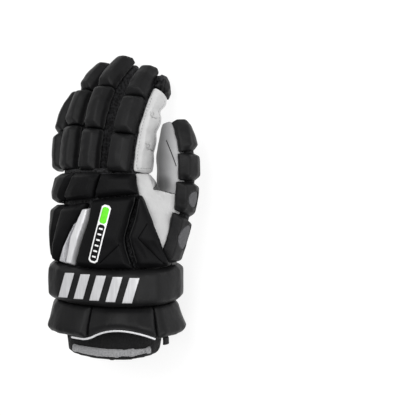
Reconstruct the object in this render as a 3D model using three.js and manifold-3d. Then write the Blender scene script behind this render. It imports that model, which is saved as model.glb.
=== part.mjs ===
// A left-hand lacrosse glove of black padded leather with a grey suede palm, lying palm down.
// Millimetres. +Y points to the fingertips, +X to the thumb and +Z out of the back of the hand.
import * as THREE from "three";
import { mergeVertices } from "three/addons/utils/BufferGeometryUtils.js";
import Module from "manifold-3d";

const wasm = await Module();
wasm.setup();

// Driving dimensions: the cuff
const CUFF_WIDTH = 150;
const CUFF_HEIGHT = 104;
const CUFF_PAD = 14;
const STRAP_WIDTH = 39;
const STRAP_BOW = 7; // how far the strap runs forward at the sides
const PALM_GAP = 0.13; // share of the cuff's girth left open on the palm side
const LITTLE_SIDE = 1.5; // how much further out the cuff stands on the little finger's side
const FLARE_LENGTH = 34;
const FLARE_RISE = 6.5;
const FLARE_WAVE = 11; // how far the back roll's rear edge arches forward
const LINER_WALL = 6;
const LINER_OUT = 23; // how far the liner stands out behind the flared rolls
const LINER_SLACK = 2.5; // between the liner and the padding round it
const LINER_TAPER = 7; // how much narrower and flatter the liner is at its rim
const LINER_DROP = 4;
const LINER_RIM = 3; // length of its rounded rim
const LINER_BOW = 14; // how much further in the rim lies at the palm than at the back
const PATCH = 2.4;
const PATCH_START = 3;
const PATCH_END = 13;
const PIPING = 1.3;
const TAB = 4;
const TAB_OUT = 8;

// Driving dimensions: the hand
const HAND_LENGTH = 103; // from the strap to the knuckles
const HAND_WIDTH = 120;
const HAND_DEPTH = 74;
const HAND_PAD = 13.5;
const KNUCKLE_PAD = 12.5;
const VENT_RIDGE = 11;
const VENT_BED = 9;
const VENT_EDGE = 1.5;
const TUCK = 5; // how far one layer reaches under the next

// Driving dimensions: fingers and thumb
const INDEX_LENGTH = 123;
const MIDDLE_LENGTH = 136;
const RING_LENGTH = 128;
const LITTLE_LENGTH = 93;
const FINGER_WIDTH = 26; // of the middle finger's stall
const FINGER_DEPTH = 27;
const ROLL_WIDTH = 26.5;
const ROLL_SAG = 2;
const FINGER_ROLL = 12;
const SIDE_PANEL = 8;
const THUMB_ROOT = 47; // from the middle of the cuff to the middle of the thumb
const THUMB_DROP = 3;
const THUMB_LENGTH = 158;
const THUMB_WIDTH = 30;
const THUMB_DEPTH = 25;
const THUMB_PULP = 9; // how far the soft side of the thumb swells
const THUMB_ROLL = 13;
const INSERT_DEPTH = 4;

// Walls, seams and clearances
const WALL = 2;
const WEB = 3; // between the roots of the fingers
const CLEARANCE = 0.35;
const SEAM = 2.2; // valley between neighbouring pads
const EDGE = 4.5; // rounding along the edge of a pad
const SINK = 2; // how far a pad is drawn below its seat before the seat is cut out of it
const SETTLE = 3; // how far the soft underside flattens where it rests
const ROOM = 600; // reaches past every solid, for cutters

// Lengths along the glove
const FLARE_START = LINER_OUT;
const STRAP_START = FLARE_START + FLARE_LENGTH;
const STRAP_END = STRAP_START + STRAP_WIDTH;
const HAND_START = STRAP_START + TUCK;
const KNUCKLES = STRAP_END + HAND_LENGTH;
const CUFF_MIDDLE = CUFF_HEIGHT / 2 - SETTLE;

const leather = new THREE.MeshStandardMaterial({ color: 0x232325, roughness: 0.55 });
const lining = new THREE.MeshStandardMaterial({ color: 0x1a1a1b, roughness: 0.9 });
const suede = new THREE.MeshStandardMaterial({ color: 0xc6c6c6, roughness: 0.9 });
const silver = new THREE.MeshStandardMaterial({ color: 0xc9c9cb, roughness: 0.5 });
const insert = new THREE.MeshStandardMaterial({ color: 0x4a4a4c, roughness: 0.6 });
const fleece = new THREE.MeshStandardMaterial({ color: 0xa9a9aa, roughness: 1 });

const glove = new THREE.Group();
const { clamp, degToRad, lerp } = THREE.MathUtils;

// One column of a table at a place along it, smooth between the rows
function column(rows, at, key) {
  const last = rows.length - 1;
  let i = 0;
  while (i < last - 1 && at > rows[i + 1].along) i += 1;
  const a = rows[i];
  const b = rows[i + 1];
  const before = rows[Math.max(i - 1, 0)];
  const after = rows[Math.min(i + 2, last)];
  const span = b.along - a.along;
  const slopeA = ((b[key] - before[key]) / (b.along - before.along)) * span;
  const slopeB = ((after[key] - a[key]) / (after.along - a.along)) * span;
  const t = clamp((at - a.along) / span, 0, 1);
  const rise = t * t * (3 - 2 * t);
  return (
    a[key] * (1 - rise) + b[key] * rise + slopeA * t * (1 - t) * (1 - t) - slopeB * t * t * (1 - t)
  );
}

// A soft tube: a frame and a rounded section at each place along it.
// A point on it has a share of the girth, from the dorsal midline round by the thumb side.
class Tube {
  constructor(frame, section) {
    this.frame = frame;
    this.section = section;
    this.outlines = new Map();
  }

  outline(along) {
    const key = along.toFixed(3);
    if (!this.outlines.has(key)) this.outlines.set(key, this.trace(this.section(along)));
    return this.outlines.get(key);
  }

  trace({ little, thumb, high, power, dropLittle = 0, dropThumb = 0 }) {
    const steps = 144;
    const points = [];
    for (let i = 0; i <= steps; i += 1) {
      const turn = (i / steps) * 2 * Math.PI;
      const side = Math.sin(turn);
      const rise = Math.cos(turn);
      const share = Math.sign(side) * Math.abs(side) ** (2 / power);
      const drop = side < 0 ? dropLittle : dropThumb;
      const x = share * (side < 0 ? little : thumb);
      points.push([x, high * Math.sign(rise) * Math.abs(rise) ** (2 / power) - drop * share ** 2]);
    }
    const lengths = [0];
    for (let i = 1; i <= steps; i += 1) {
      lengths.push(
        lengths[i - 1] + Math.hypot(points[i][0] - points[i - 1][0], points[i][1] - points[i - 1][1]),
      );
    }
    return { points, lengths, girth: lengths[steps], steps };
  }

  girth(along) {
    return this.outline(along).girth;
  }

  point(round, along, height = 0) {
    const { points, lengths, girth, steps } = this.outline(along);
    const want = (round - Math.floor(round)) * girth;
    let i = 0;
    while (i < steps - 1 && lengths[i + 1] < want) i += 1;
    const part = (want - lengths[i]) / Math.max(lengths[i + 1] - lengths[i], 1e-9);
    const x = lerp(points[i][0], points[i + 1][0], part);
    const z = lerp(points[i][1], points[i + 1][1], part);
    const back = points[(i + steps - 2) % steps];
    const ahead = points[(i + 3) % steps];
    const run = Math.hypot(ahead[0] - back[0], ahead[1] - back[1]);
    const { middle, across, up } = this.frame(along);
    return middle
      .clone()
      .addScaledVector(across, x - (height * (ahead[1] - back[1])) / run)
      .addScaledVector(up, z + (height * (ahead[0] - back[0])) / run);
  }

  loop(along, height, count) {
    return Array.from({ length: count }, (_, i) => this.point(i / count, along, height));
  }
}

// A curved centre line that bends away from its upper side
class Path {
  constructor({ root, turn, roll, length, pitch, bend, sway = 0 }) {
    this.length = length;
    this.step = 1;
    const turned = degToRad(turn);
    const rolled = degToRad(roll);
    this.ahead = new THREE.Vector3(Math.sin(turned), Math.cos(turned), 0);
    const side = new THREE.Vector3(Math.cos(turned), -Math.sin(turned), 0);
    const sky = new THREE.Vector3(0, 0, 1);
    this.over = sky.clone().multiplyScalar(Math.cos(rolled)).addScaledVector(side, Math.sin(rolled));
    this.across = side.multiplyScalar(Math.cos(rolled)).addScaledVector(sky, -Math.sin(rolled));
    this.pitch = (along) => {
      const share = clamp(along / length, 0, 1);
      return degToRad(pitch[0] + (pitch[1] - pitch[0]) * share ** bend);
    };
    this.root = root;
    this.sway = (along) => sway * Math.sin(Math.PI * clamp(along / length, 0, 1) ** 2);
  }

  frame(along) {
    const steps = Math.max(Math.ceil(Math.abs(along) / this.step), 1);
    const middle = this.root.clone();
    for (let i = 0; i < steps; i += 1) {
      middle.addScaledVector(this.heading((along * (i + 0.5)) / steps), along / steps);
    }
    middle.addScaledVector(this.across, this.sway(along));
    const pitch = this.pitch(along);
    const up = this.over.clone().multiplyScalar(Math.cos(pitch));
    up.addScaledVector(this.ahead, Math.sin(pitch));
    return { middle, along: this.heading(along), across: this.across, up };
  }

  heading(along) {
    const pitch = this.pitch(along);
    return this.ahead
      .clone()
      .multiplyScalar(Math.cos(pitch))
      .addScaledVector(this.over, -Math.sin(pitch));
  }
}

// The closed body that joins loops of points one after the other. Its ends are fans, or strips between
// the under and upper side of a cushion's loop, or there are none because the last loop meets the first
function loft(loops, ends = "fan") {
  const ring = ends === "ring";
  const count = loops[0].length;
  const places = loops.flat().flatMap((p) => [p.x, p.y, p.z]);
  const faces = [];
  const spans = ring ? loops.length : loops.length - 1;
  for (let row = 0; row < spans; row += 1) {
    const next = (row + 1) % loops.length;
    for (let i = 0; i < count; i += 1) {
      const j = (i + 1) % count;
      const a = row * count + i;
      const b = row * count + j;
      const c = next * count + j;
      const d = next * count + i;
      faces.push(a, b, c, a, c, d);
    }
  }
  const cap = (row, a, b, c) => {
    const at = [a, b, c].map((i) => row * count + i);
    faces.push(...(row === 0 ? at.reverse() : at));
  };
  if (ends === "zip") {
    const under = count / 2 - 1;
    for (const row of [0, loops.length - 1]) {
      cap(row, 0, count - 2, count - 1);
      cap(row, under - 1, under, under + 1);
      for (let i = 0; i < under - 1; i += 1) {
        cap(row, i, i + 1, count - 3 - i);
        cap(row, i, count - 3 - i, count - 2 - i);
      }
    }
  }
  if (ends === "fan") {
    for (const [row, flip] of [
      [0, true],
      [loops.length - 1, false],
    ]) {
      const centre = loops[row].reduce((sum, p) => sum.add(p), new THREE.Vector3());
      centre.divideScalar(count);
      const hub = places.length / 3;
      places.push(centre.x, centre.y, centre.z);
      for (let i = 0; i < count; i += 1) {
        const a = row * count + i;
        const b = row * count + ((i + 1) % count);
        if (flip) faces.push(hub, b, a);
        else faces.push(hub, a, b);
      }
    }
  }
  return body(places, faces);
}

// A solid from its vertices and faces, turned to face out
function body(places, faces) {
  const shape = new THREE.BufferGeometry();
  shape.setAttribute("position", new THREE.Float32BufferAttribute(places, 3));
  shape.setIndex(faces);
  const merged = mergeVertices(shape, 1e-4);
  const vertProperties = merged.attributes.position.array;
  const triVerts = new Uint32Array(merged.index.array);
  const made = new wasm.Manifold(new wasm.Mesh({ numProp: 3, vertProperties, triVerts }));
  if (made.volume() > 0) return made;
  return new wasm.Manifold(
    new wasm.Mesh({ numProp: 3, vertProperties, triVerts: triVerts.reverse() }),
  );
}

// Rows of a table as objects with named columns
const table = (columns, rows) =>
  rows.map((row) => Object.fromEntries(columns.map((key, i) => [key, row[i]])));

const spread = (start, end, count) =>
  Array.from({ length: count }, (_, i) => lerp(start, end, i / (count - 1)));

// A named mesh from a finished solid, without the dust that a cut can leave beside it
function piece(name, solid, material) {
  const [whole] = solid.decompose().sort((a, b) => b.volume() - a.volume());
  const { numProp, vertProperties, triVerts } = whole.getMesh();
  const shape = new THREE.BufferGeometry();
  const places = new Float32Array((vertProperties.length / numProp) * 3);
  for (let i = 0; i < places.length / 3; i += 1) {
    places.set(vertProperties.subarray(i * numProp, i * numProp + 3), i * 3);
  }
  shape.setAttribute("position", new THREE.BufferAttribute(places, 3));
  shape.setIndex(new THREE.BufferAttribute(triVerts, 1));
  const mesh = new THREE.Mesh(shape, material);
  mesh.name = name;
  glove.add(mesh);
  return mesh;
}

function block(low, high) {
  const size = new THREE.Vector3().subVectors(high, low);
  const shape = new THREE.BoxGeometry(size.x, size.y, size.z);
  shape.translate((low.x + high.x) / 2, (low.y + high.y) / 2, (low.z + high.z) / 2);
  return body([...shape.attributes.position.array], [...shape.index.array]);
}

const floor = block(new THREE.Vector3(-ROOM, -ROOM, -ROOM), new THREE.Vector3(ROOM, ROOM, 0));

// The hand sleeve: its sections as shares of HAND_LENGTH and the tucked part along it, of HAND_WIDTH and
// HAND_DEPTH across it, with the cant in degrees
const HAND = table(
  ["along", "middle", "rise", "little", "thumb", "high", "power", "dropLittle", "dropThumb", "cant", "skew"],
  [
    [0, 0, -0.01, 0.5, 0.5, 0.5, 2.8, 0, 0, 0, 0],
    [0.27, 0, 0, 0.505, 0.51, 0.48, 2.8, 0, 0.04, 0, 0],
    [0.45, -0.01, 0.03, 0.52, 0.63, 0.45, 2.7, 0.01, 0.14, 1.5, 0],
    [0.63, -0.04, 0.05, 0.535, 0.67, 0.38, 2.6, 0.04, 0.24, 4, 0],
    [0.76, -0.065, 0.065, 0.545, 0.65, 0.33, 2.6, 0.08, 0.27, 7, 0.015],
    [0.86, -0.085, 0.075, 0.555, 0.58, 0.3, 2.7, 0.12, 0.22, 9, 0.03],
    [0.93, -0.1, 0.08, 0.56, 0.5, 0.27, 2.8, 0.16, 0.2, 11, 0.04],
    [1, -0.115, 0.085, 0.565, 0.49, 0.25, 2.8, 0.2, 0.2, 12, 0.05],
  ],
);
const handShare = (along) => (along - HAND_START) / (KNUCKLES - HAND_START);
const hand = new Tube(
  (along) => {
    const at = handShare(along);
    const cant = degToRad(column(HAND, at, "cant"));
    return {
      middle: new THREE.Vector3(
        column(HAND, at, "middle") * HAND_WIDTH,
        along,
        CUFF_MIDDLE + column(HAND, at, "rise") * HAND_DEPTH,
      ),
      across: new THREE.Vector3(Math.cos(cant), -column(HAND, at, "skew"), Math.sin(cant)),
      up: new THREE.Vector3(-Math.sin(cant), 0, Math.cos(cant)),
    };
  },
  (along) => {
    const at = handShare(along);
    return {
      little: column(HAND, at, "little") * HAND_WIDTH,
      thumb: column(HAND, at, "thumb") * HAND_WIDTH,
      high: column(HAND, at, "high") * HAND_DEPTH,
      power: column(HAND, at, "power"),
      dropLittle: column(HAND, at, "dropLittle") * HAND_DEPTH,
      dropThumb: column(HAND, at, "dropThumb") * HAND_DEPTH,
    };
  },
);

// The middle of the sleeve's mouth at a share of its half width, where a finger starts
function knuckle(share) {
  const { middle, across, up } = hand.frame(KNUCKLES);
  const { little, thumb, dropLittle, dropThumb } = hand.section(KNUCKLES);
  return middle
    .clone()
    .addScaledVector(across, share * (share < 0 ? little : thumb))
    .addScaledVector(up, -(share < 0 ? dropLittle : dropThumb) * share ** 2);
}

// The cuff: a rounded section that opens out towards the wrist end
const cuff = new Tube(
  (along) => ({
    middle: new THREE.Vector3(0, along, CUFF_MIDDLE),
    across: new THREE.Vector3(1, 0, 0),
    up: new THREE.Vector3(0, 0, 1),
  }),
  (along) => {
    const flare = FLARE_RISE * clamp((STRAP_START - along) / FLARE_LENGTH, 0, 1) ** 1.3;
    const half = CUFF_WIDTH / 2 - CUFF_PAD + flare;
    const high = CUFF_HEIGHT / 2 - CUFF_PAD + flare * 0.8;
    return { little: half + LITTLE_SIDE - flare * 0.8, thumb: half, high, power: 3 };
  },
);

// A point of an outline given by rows of left and right edges, smooth from row to row
function patch(rows, across, along) {
  const place = (side, part) => {
    const marks = rows.map((row, i) => ({ along: i / (rows.length - 1), value: row[side][part] }));
    return column(marks, along, "value");
  };
  return [0, 1].map((part) => lerp(place("left", part), place("right", part), across));
}

// A cushion that lies on a surface: each loop runs along its seat and back over its rounded crown
function cushion(surface, rows, options) {
  const { thick, seat = CLEARANCE, seam = SEAM, edge = EDGE, crown = 0.1, fine = 1, deep = 2 } = options;
  const wave = options.wave ?? 0;
  const front = options.front ?? 1;
  const at = (a, b, height) => {
    const [round, along] = patch(rows, a, b);
    return surface(round, along + wave * (1 - (2 * a - 1) ** 2) * (1 - b), height);
  };
  const run = (place) => {
    const marks = spread(0, 1, 9).map(place);
    return marks.slice(1).reduce((sum, mark, i) => sum + mark.distanceTo(marks[i]), 0);
  };
  const length = run((b) => at(0.5, b, 0));
  const stations = (inset, round, count) => {
    return [inset, ...spread(inset + round, 1 - inset - round, count + 2), 1 - inset];
  };
  const swell = (share, inset, round) => {
    const near = clamp((Math.min(share, 1 - share) - inset) / round, 0, 1);
    return Math.sqrt(1 - (1 - near) ** 2);
  };
  const insetB = seam / 2 / length;
  const roundB = Math.min(edge / length, 0.3);
  const loops = stations(insetB, roundB, deep).map((b) => {
    const width = Math.max(run((a) => at(a, b, 0)), 2 * seam);
    const insetA = Math.min(seam / 2 / width, 0.3);
    const roundA = Math.min(edge / width, 0.5 - insetA - 0.04);
    const spots = stations(insetA, roundA, fine);
    const under = [spots[0], ...spots.slice(2, -2), spots.at(-1)];
    const height = (a) => {
      const full = 0.6 + 0.4 * swell(a, insetA, roundA) * swell(b, insetB, roundB);
      const soft = crown * (1 - (2 * a - 1) ** 2) * (1 - (2 * b - 1) ** 2);
      return seat + thick * (full + soft) * lerp(1, front, b);
    };
    const below = under.map((a) => at(a, b, seat));
    const above = spots.map((a) => at(a, b, height(a))).reverse();
    return [...below, ...above];
  });
  return loft(loops, "zip");
}

// Fingers: place across the knuckles, turn and roll in degrees, how far the finger bows sideways, where
// the rolls begin, the length, the widths and depth as shares of the middle finger's, and the shares of
// the length between the rolls
const FINGERS = table(
  ["name", "share", "turn", "roll", "sway", "start", "length", "wide", "deep", "padWide", "cuts"],
  [
    ["index", 0.63, 4, 2, 0, -1, INDEX_LENGTH, 1.27, 1.15, 1.04, [0, 0.33, 0.67, 1]],
    ["middle", -0.04, 1.5, -9, -0.19, -1, MIDDLE_LENGTH, 1, 1, 1, [0, 0.335, 0.69, 1]],
    ["ring", -0.6, -2, -22, -0.18, -1, RING_LENGTH, 0.885, 0.963, 0.98, [0, 0.385, 0.71, 1]],
    ["little", -0.93, -13, -36, -0.1, 0, LITTLE_LENGTH, 0.81, 0.89, 0.905, [0, 0.46, 1]],
  ],
);
const FINGER_PITCH = [6, 52];
const FINGER_TAPER = 0.22;
const TIP_WIDTH = 0.76; // of the last roll's width

function finger({ name, share, turn, roll, sway: bowed, start: begin, length, wide, deep, padWide, cuts }) {
  const sway = bowed * FINGER_WIDTH;
  const half = (deep * FINGER_DEPTH) / 2;
  const halfWide = (wide * FINGER_WIDTH) / 2;
  const start = knuckle(share);
  const probe = new Path({ root: start, turn, roll, length, pitch: FINGER_PITCH, bend: 1.5 });
  const root = start.addScaledVector(probe.frame(0).up, half);
  const path = new Path({ root, turn, roll, length, pitch: FINGER_PITCH, bend: 1.5, sway });
  const shrink = (along) => 1 - FINGER_TAPER * clamp(along / length, 0, 1);
  const round = (along) => {
    const dome = clamp((along - length * 0.9) / (length * 0.1 + 5), 0, 0.97);
    return Math.sqrt(1 - dome * dome);
  };
  const stall = new Tube(
    (along) => {
      const frame = path.frame(along);
      const depth = half * shrink(along);
      return { ...frame, middle: frame.middle.addScaledVector(frame.up, -depth - CLEARANCE) };
    },
    (along) => {
      const size = shrink(along) * round(along);
      return { little: halfWide * size, thumb: halfWide * size, high: half * size, power: 3 };
    },
  );
  const seat = (across, along, height) => {
    const { middle, across: side, up } = path.frame(along);
    const sag = ROLL_SAG * (2 * across) ** 2;
    return middle.addScaledVector(side, across * padWide * ROLL_WIDTH).addScaledVector(up, height - sag);
  };
  return { name, path, stall, seat, begin, length, cuts, half };
}

// Three rolls on each finger, two on the little one
function fingerRolls({ name, seat, begin, length, cuts }) {
  const rolls = cuts.length - 1;
  for (let i = 0; i < rolls; i += 1) {
    const low = lerp(begin, length, cuts[i]);
    const high = lerp(begin, length, cuts[i + 1]);
    const last = i === rolls - 1;
    const tip = last ? TIP_WIDTH : 1 - 0.08 * ((i + 1) / rolls);
    const base = 1 - 0.08 * (i / rolls);
    const rows = [0, 0.5, 1].map((b) => {
      const width = last && b < 1 ? lerp(base, base * 0.97, b) : lerp(base, tip, b);
      return { left: [-width / 2, lerp(low, high, b)], right: [width / 2, lerp(low, high, b)] };
    });
    const solid = cushion(seat, rows, { thick: FINGER_ROLL, seat: CLEARANCE, crown: 0.06 });
    piece(`${name}_roll_${i + 1}`, solid, leather);
  }
}

// The stall round a finger: leather or mesh above and beside it, suede below
function fingerStall(made) {
  const { name, stall, length } = made;
  const places = [-TUCK, length * 0.3, length * 0.6, length * 0.9, length * 0.98, length + 3];
  const outer = places.map((along) => stall.loop(along, 0, 14));
  const inner = places.slice(0, -1).map((along) => stall.loop(along, -WALL, 14));
  const shell = loft([...outer.reverse(), ...inner]);
  const cutter = (low, high) => {
    const rims = [-2 * TUCK, ...spread(0, length, 5), length + FINGER_DEPTH / 2].map((along) => {
      const { middle, across, up } = stall.frame(along);
      const corner = (x, z) => middle.clone().addScaledVector(across, x).addScaledVector(up, z);
      const aside = 1.5 * FINGER_WIDTH;
      return [corner(-aside, low), corner(aside, low), corner(aside, high), corner(-aside, high)];
    });
    return loft(rims);
  };
  made.skin = loft(places.map((along) => stall.loop(along, CLEARANCE, 14)));
  const split = -made.half * 0.5;
  const beyond = 1.5 * FINGER_DEPTH;
  piece(`${name}_stall`, shell.subtract(cutter(-beyond, split)).subtract(floor), lining);
  piece(`${name}_palm`, shell.subtract(cutter(split - CLEARANCE, beyond)).subtract(floor), suede);
}

const fingers = FINGERS.map(finger);
fingers.forEach(fingerRolls);
fingers.forEach(fingerStall);

// Thumb: its dorsal side faces outwards, so its width stands nearly upright
const thumbPath = new Path({
  root: new THREE.Vector3(THUMB_ROOT, STRAP_END, CUFF_MIDDLE - THUMB_DROP),
  turn: 0,
  roll: 110,
  length: THUMB_LENGTH,
  pitch: [-19, 26],
  bend: 2.5,
});
const THUMB = [
  { along: 0, size: 1, pulp: 0 },
  { along: 0.4, size: 0.98, pulp: 0 },
  { along: 0.55, size: 0.97, pulp: 0.6 },
  { along: 0.72, size: 0.93, pulp: 1 },
  { along: 0.88, size: 0.84, pulp: 0.65 },
  { along: 1, size: 0.76, pulp: 0.1 },
];
const thumbDome = (along) => {
  const dome = clamp((along - THUMB_LENGTH * 0.86) / (THUMB_LENGTH * 0.14 + 4), 0, 0.97);
  return Math.sqrt(1 - dome * dome);
};
const thumbPulp = (along) =>
  (column(THUMB, along / THUMB_LENGTH, "pulp") * thumbDome(along) * THUMB_PULP) / 2;
const thumbTube = new Tube(
  (along) => {
    const frame = thumbPath.frame(along);
    return { ...frame, middle: frame.middle.addScaledVector(frame.up, -thumbPulp(along)) };
  },
  (along) => {
    const size = column(THUMB, along / THUMB_LENGTH, "size") * thumbDome(along);
    const wide = (THUMB_WIDTH / 2) * size;
    return { little: wide, thumb: wide, high: (THUMB_DEPTH / 2) * size + thumbPulp(along), power: 2.5 };
  },
);

// The leather shell of hand and thumb in one, later cut along its seams
const HAND_POINTS = 24; // round a section
const handPlaces = [HAND_START, ...spread(STRAP_END, KNUCKLES, 8)];
function handSolid(height) {
  return loft(handPlaces.map((along) => hand.loop(along, height, HAND_POINTS)));
}
// The room for the hand is open at the wrist and ends at the web that holds the finger stalls
function handRoom() {
  const places = [...handPlaces.slice(0, -1), KNUCKLES - WEB];
  const loops = places.map((along) => hand.loop(along, -WALL, HAND_POINTS));
  const beyond = new THREE.Vector3(0, -2 * TUCK, 0);
  return loft([loops[0].map((p) => p.clone().add(beyond)), ...loops]);
}
const thumbPlaces = [0.06, 0.25, 0.42, 0.58, 0.73, 0.86, 0.95, 1.01].map((v) => v * THUMB_LENGTH);
function thumbSolid(height, places) {
  return loft(places.map((along) => thumbTube.loop(along, height, 14)));
}
const innerHand = handRoom().add(thumbSolid(-WALL, thumbPlaces.slice(0, -1)));
const rooms = fingers.map(({ stall, length }) => {
  const places = [-TUCK - 3, -TUCK, length * 0.3];
  return loft(places.map((along) => stall.loop(along, CLEARANCE, 14)));
});
const shell = rooms.reduce(
  (left, room) => left.subtract(room),
  handSolid(0).add(thumbSolid(0, thumbPlaces)).subtract(innerHand),
);

// The seam between back lining and palm leather, as shares of hand width and depth
const BACK_SEAM = [
  [-1, -0.1],
  [-0.63, -0.06],
  [0.2, 0.2],
  [0.4, 0.25],
  [1, 0.28],
];
function aboveSeam(drop) {
  const rims = [HAND_START - 20, KNUCKLES + 20].map((along) => {
    const place = (x, z) =>
      new THREE.Vector3(x * HAND_WIDTH, along, CUFF_MIDDLE + z * HAND_DEPTH - drop);
    return [...BACK_SEAM.map(([x, z]) => place(x, z)), place(1, 1.5), place(-1, 1.5)];
  });
  return loft(rims);
}
const THUMB_SEAM = 0.53; // share of the thumb's length where its own leather starts
function beyondThumbSeam(grow) {
  const places = spread(THUMB_SEAM, 1.05, 7).map((share) => share * THUMB_LENGTH);
  places[0] -= grow;
  const loops = places.map((along) => {
    const { middle, across, up } = thumbPath.frame(along);
    const corner = (x, z) => middle.clone().addScaledVector(across, x).addScaledVector(up, z);
    const wide = 0.6 * THUMB_WIDTH + grow;
    const deep = 0.54 * THUMB_DEPTH + grow;
    const pulp = 1.08 * deep + 2 * thumbPulp(along);
    return [corner(-wide, -pulp), corner(wide, -pulp), corner(wide, deep), corner(-wide, deep)];
  });
  return loft(loops);
}
piece("thumb_leather", shell.intersect(beyondThumbSeam(0)), suede);
const handLeather = shell.subtract(beyondThumbSeam(CLEARANCE));
piece("back_lining", handLeather.intersect(aboveSeam(0)), lining);
piece("palm_leather", handLeather.subtract(aboveSeam(CLEARANCE)), suede);

// The padding follows the strap's bowed edge where it meets it
const BOW_CENTRE = 0.08;
const bow = (round) => STRAP_BOW * clamp(Math.abs(round - BOW_CENTRE) / 0.25, 0, 1.2) ** 2;
const onHand = (rows) =>
  rows.map(([left, leftAt, right, rightAt]) => ({
    left: [left, STRAP_END + leftAt * HAND_LENGTH],
    right: [right, STRAP_END + rightAt * HAND_LENGTH],
  }));
const handSurface = (round, along, height) => {
  const fade = clamp(1 - (along - STRAP_END) / (HAND_LENGTH * 0.5), 0, 1);
  return hand.point(round, along + bow(round) * fade, height);
};
const padSeat = rooms.reduce(
  (sum, room) => sum.add(room),
  handSolid(CLEARANCE).add(thumbSolid(CLEARANCE, thumbPlaces)),
);

// Back-of-hand pads: each row has the round share and the share of the hand's length of its left edge,
// then of its right edge
const HAND_PADS = {
  knuckle_index: {
    thick: KNUCKLE_PAD,
    rows: [
      [0.031, 0.723, 0.192, 0.782],
      [0.082, 0.998, 0.206, 0.998],
    ],
  },
  knuckle_middle: {
    thick: KNUCKLE_PAD,
    rows: [
      [-0.11, 0.69, 0.028, 0.723],
      [-0.05, 0.992, 0.077, 0.998],
    ],
  },
  knuckle_little: {
    thick: KNUCKLE_PAD,
    rows: [
      [-0.258, 0.65, -0.115, 0.69],
      [-0.234, 0.965, -0.06, 0.992],
    ],
  },
  main_plate: {
    thick: HAND_PAD,
    rows: [
      [-0.068, 0, 0.148, 0],
      [-0.024, 0.3, 0.121, 0.3],
      [0.007, 0.5, 0.145, 0.53],
      [0.027, 0.715, 0.186, 0.772],
    ],
  },
  thumb_plate: {
    thick: HAND_PAD,
    rows: [
      [0.153, 0, 0.253, 0],
      [0.13, 0.32, 0.222, 0.27],
      [0.156, 0.53, 0.208, 0.5],
      [0.189, 0.775, 0.2, 0.78],
    ],
  },
  ring_strip: {
    thick: HAND_PAD,
    rows: [
      [-0.172, 0, -0.15, 0],
      [-0.15, 0.2, -0.112, 0.2],
      [-0.13, 0.4, -0.072, 0.4],
      [-0.106, 0.655, 0.006, 0.69],
    ],
  },
  little_strip: {
    thick: HAND_PAD,
    rows: [
      [-0.27, 0, -0.174, 0],
      [-0.27, 0.33, -0.138, 0.33],
      [-0.26, 0.648, -0.108, 0.67],
    ],
  },
  vent_ridge: {
    thick: VENT_RIDGE,
    rows: [
      [-0.102, 0, -0.071, 0],
      [-0.07, 0.3, -0.028, 0.3],
      [-0.037, 0.5, 0.003, 0.5],
      [-0.012, 0.62, 0.02, 0.63],
    ],
    edge: VENT_EDGE,
  },
  vent_bed: {
    thick: VENT_BED,
    rows: [
      [-0.146, 0, -0.106, 0],
      [-0.108, 0.2, -0.09, 0.2],
      [-0.071, 0.38, -0.059, 0.38],
      [-0.052, 0.48, -0.044, 0.48],
    ],
    edge: VENT_EDGE,
  },
};
for (const [name, { thick, rows, edge }] of Object.entries(HAND_PADS)) {
  const pad = cushion(handSurface, onHand(rows), {
    thick: thick + SINK,
    seat: -SINK,
    fine: 2,
    deep: 2,
    edge: edge ?? EDGE,
  });
  piece(name, pad.subtract(padSeat), name.startsWith("vent") ? silver : leather);
}

// Cuff: the strap roll and three flared rolls behind it
const cuffSurface = (round, along, height) => cuff.point(round, along + bow(round), height);
const onCuff = (left, right, low, high) =>
  [low, high].map((along) => ({ left: [left, along], right: [right, along] }));
const wrap = 0.5 - PALM_GAP / 2;
const strap = cushion(cuffSurface, onCuff(-wrap, wrap, STRAP_START, STRAP_END), {
  thick: CUFF_PAD - CLEARANCE,
  fine: 18,
  deep: 2,
  crown: 0.03,
});
piece("strap_roll", strap.subtract(padSeat).subtract(floor), leather);

// Wrist liner: a padded tube through the cuff that stands out behind it
const liner = new Tube(
  (along) => ({
    middle: new THREE.Vector3(-LINER_SLACK * (1 - along / HAND_START), along, CUFF_MIDDLE),
    across: new THREE.Vector3(1, 0, 0),
    up: new THREE.Vector3(0, 0, 1),
  }),
  (along) => {
    const back = 1 - clamp(along / HAND_START, 0, 1);
    const inside = CUFF_PAD + LINER_SLACK;
    const half = CUFF_WIDTH / 2 - inside - LINER_TAPER * back;
    return { little: half, thumb: half, high: CUFF_HEIGHT / 2 - inside - LINER_DROP * back, power: 3 };
  },
);
const linerEnd = HAND_START - CLEARANCE;
const LINER_CENTRE = 0.06; // share of the girth where the rim stands out furthest
const linerSurface = (round, along, height) => {
  const turn = 2 * Math.PI * (round - LINER_CENTRE);
  const shift = (LINER_BOW / 2) * (1 - Math.cos(turn)) * (1 - along / linerEnd);
  return liner.point(round, along, height).add(new THREE.Vector3(0, shift, 0));
};
const linerLoop = (along, height) =>
  Array.from({ length: HAND_POINTS }, (_, i) => linerSurface(i / HAND_POINTS, along, height));
const linerPlaces = [LINER_RIM, linerEnd];
const linerOut = linerPlaces.map((along) => linerLoop(along, 0));
const linerIn = linerPlaces.map((along) => linerLoop(along, -LINER_WALL)).reverse();
const linerRim = linerLoop(0, -LINER_WALL / 2);
piece("wrist_liner", loft([linerRim, ...linerOut, ...linerIn], "ring"), lining);
const linerSeat = loft(linerPlaces.map((along) => linerLoop(along, CLEARANCE)));
const patchRows = [
  { left: [-0.12, PATCH_START], right: [0.24, PATCH_START] },
  { left: [-0.11, PATCH_END], right: [0.23, PATCH_END] },
];
const patchPad = cushion(linerSurface, patchRows, {
  thick: PATCH + SINK,
  seat: -SINK,
  edge: 1.5,
  fine: 4,
  deep: 0,
});
piece("liner_patch", patchPad.subtract(linerSeat), fleece);

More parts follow.
